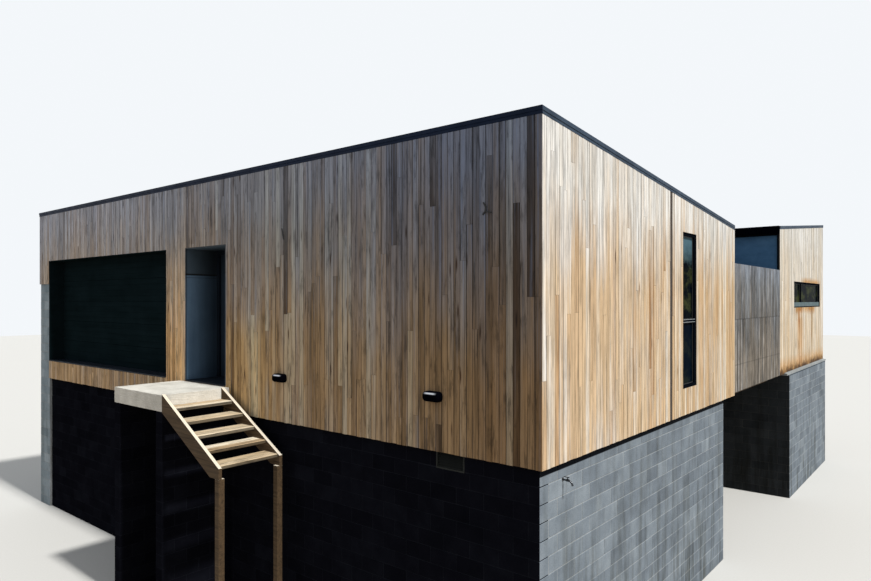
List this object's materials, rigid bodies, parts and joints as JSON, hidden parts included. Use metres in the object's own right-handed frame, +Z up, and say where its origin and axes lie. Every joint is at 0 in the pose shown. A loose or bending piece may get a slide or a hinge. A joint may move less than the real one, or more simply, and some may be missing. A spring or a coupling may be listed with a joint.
{
  "type": "beach house",
  "caption": "Timber-clad beach house of two mono-pitch blocks joined by a screened deck court, on concrete block walls, with an entry recess, garage door and outside stair.",
  "frame": {"origin": "on the lowest ground, under the middle of the house's bounding box", "axes": "+X along the street front to the right as seen from the street, +Y from the street front to the rear wing, +Z up"},
  "size_m": [13.894, 17.722, 7.0735],
  "materials": {
    "shaded_timber": "matte weathered boards",
    "sunny_timber": "matte weathered boards",
    "grey_timber": "silvered rough boards",
    "frame_timber": "sawn",
    "stair_timber": "rough sawn",
    "concrete_block": "fair faced block",
    "concrete": "cast, matte",
    "black_metal": "satin black",
    "roof_metal": "matte slate grey",
    "ledge_metal": "matte grey flashing",
    "dark_panel": "satin slate blue",
    "garage_panel": "satin near black",
    "plaster": "matte wall board",
    "steel": "brushed",
    "brass": "dull",
    "vent_metal": "matte",
    "glass": "dark reflecting"
  },
  "bodies": {
    "house": {"front_wall_right": "shaded_timber", "front_wall_between": "shaded_timber", "front_wall_head": "shaded_timber", "front_wall_base": "shaded_timber", "front_wall_left": "shaded_timber", "right_wall": "sunny_timber", "left_wall": "sunny_timber", "rear_wall": "sunny_timber", "main_floor": "frame_timber", "main_roof": "roof_metal", "front_block_wall": "concrete_block", "right_block_wall": "concrete_block", "left_block_wall": "concrete_block", "rear_block_wall": "concrete_block", "wing_block_walls": "concrete_block", "wing_ledge": "ledge_metal", "entry_walls": "plaster", "entry_lining": "dark_panel", "door_frame": "dark_panel", "door_hinges": "steel", "garage_lining": "garage_panel", "garage_door": "garage_panel", "court_screens": "grey_timber", "court_deck": "grey_timber", "court_bearers": "frame_timber", "wing_right_wall": "sunny_timber", "wing_left_wall": "sunny_timber", "wing_rear_wall": "sunny_timber", "wing_glass_frame": "black_metal", "wing_glass": "glass", "wing_floor": "frame_timber", "wing_roof": "roof_metal", "roof_cappings": "black_metal", "roof_gutters": "black_metal", "window_frames": "black_metal", "window_glass": "glass", "wall_lights": "black_metal", "vent": "vent_metal", "garden_tap": "brass", "landing": "concrete", "landing_walls": "concrete_block", "stair_frame": "stair_timber", "stair_treads": "stair_timber"},
    "door": {"front_door": "dark_panel", "door_handle": "steel"}
  },
  "joints": [
    {"name": "front_door_hinge", "type": "hinge", "parent": "house", "child": "door", "pos_m": [-0.217, -7.008, 4.5], "axis": [0, 0, 1], "range_deg": [0, 95]}
  ]
}
